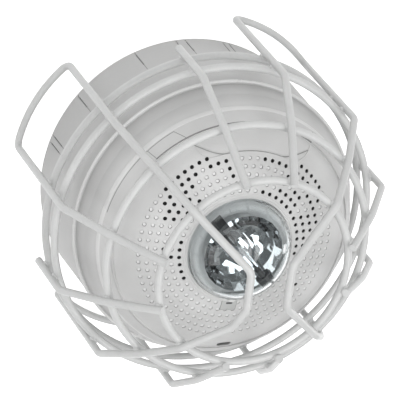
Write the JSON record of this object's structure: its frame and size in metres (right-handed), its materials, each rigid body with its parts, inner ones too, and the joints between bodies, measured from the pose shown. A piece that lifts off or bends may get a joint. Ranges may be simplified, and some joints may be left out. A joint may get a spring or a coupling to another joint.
{
  "type": "wire light guard",
  "caption": "Welded white wire cage over a round ceiling sounder with a domed flashing light, on its deep round back box.",
  "frame": {"origin": "centre of the back face of the box, in the plane of the feet", "axes": "+Z out of the front, through the lens; two feet on the X axis and two on the Y axis"},
  "size_m": [0.2118, 0.2118, 0.1481],
  "materials": {
    "guard_coating": "white plastic coated steel wire",
    "box_plastic": "light grey moulded plastic",
    "plate_plastic": "light grey moulded plastic",
    "cover_plastic": "off-white moulded plastic",
    "lens_clear": "clear moulded lens",
    "reflector_bright": "bright metallised reflector",
    "tube_glass": "clear glass lamp tube",
    "socket_plastic": "dark moulded socket",
    "board_green": "lacquered circuit board",
    "capacitor_sleeve": "dark shrunk sleeve",
    "basket_steel": "zinc plated pressed steel",
    "screw_steel": "zinc plated screw",
    "cone_paper": "dark paper",
    "surround_rubber": "soft rolled edge",
    "coil_brass": "varnished copper winding",
    "magnet_dark": "ferrite ring",
    "transformer_steel": "laminated core",
    "terminal_plastic": "moulded terminal block"
  },
  "bodies": {
    "root": {"back_box": "box_plastic", "mounting_plate": "plate_plastic", "plate_screws": "screw_steel", "grille_cover": "cover_plastic", "lens_dome": "lens_clear", "reflector": "reflector_bright", "flash_tube": "tube_glass", "tube_sockets": "socket_plastic", "lamp_board": "board_green", "storage_capacitor": "capacitor_sleeve", "speaker_frame": "basket_steel", "speaker_screws": "screw_steel", "speaker_cone": "cone_paper", "cone_surround": "surround_rubber", "dust_cap": "cone_paper", "voice_coil": "coil_brass", "magnet_front_plate": "basket_steel", "ring_magnet": "magnet_dark", "pole_piece": "basket_steel", "line_transformer": "transformer_steel", "terminal_block": "terminal_plastic", "foot_wire_left": "guard_coating", "foot_wire_right": "guard_coating", "short_rib_1": "guard_coating", "short_rib_2": "guard_coating", "short_rib_3": "guard_coating", "short_rib_4": "guard_coating", "ring_1_lowest": "guard_coating", "ring_2_side": "guard_coating", "ring_3_slope": "guard_coating", "ring_4_front": "guard_coating"}
  },
  "joints": []
}
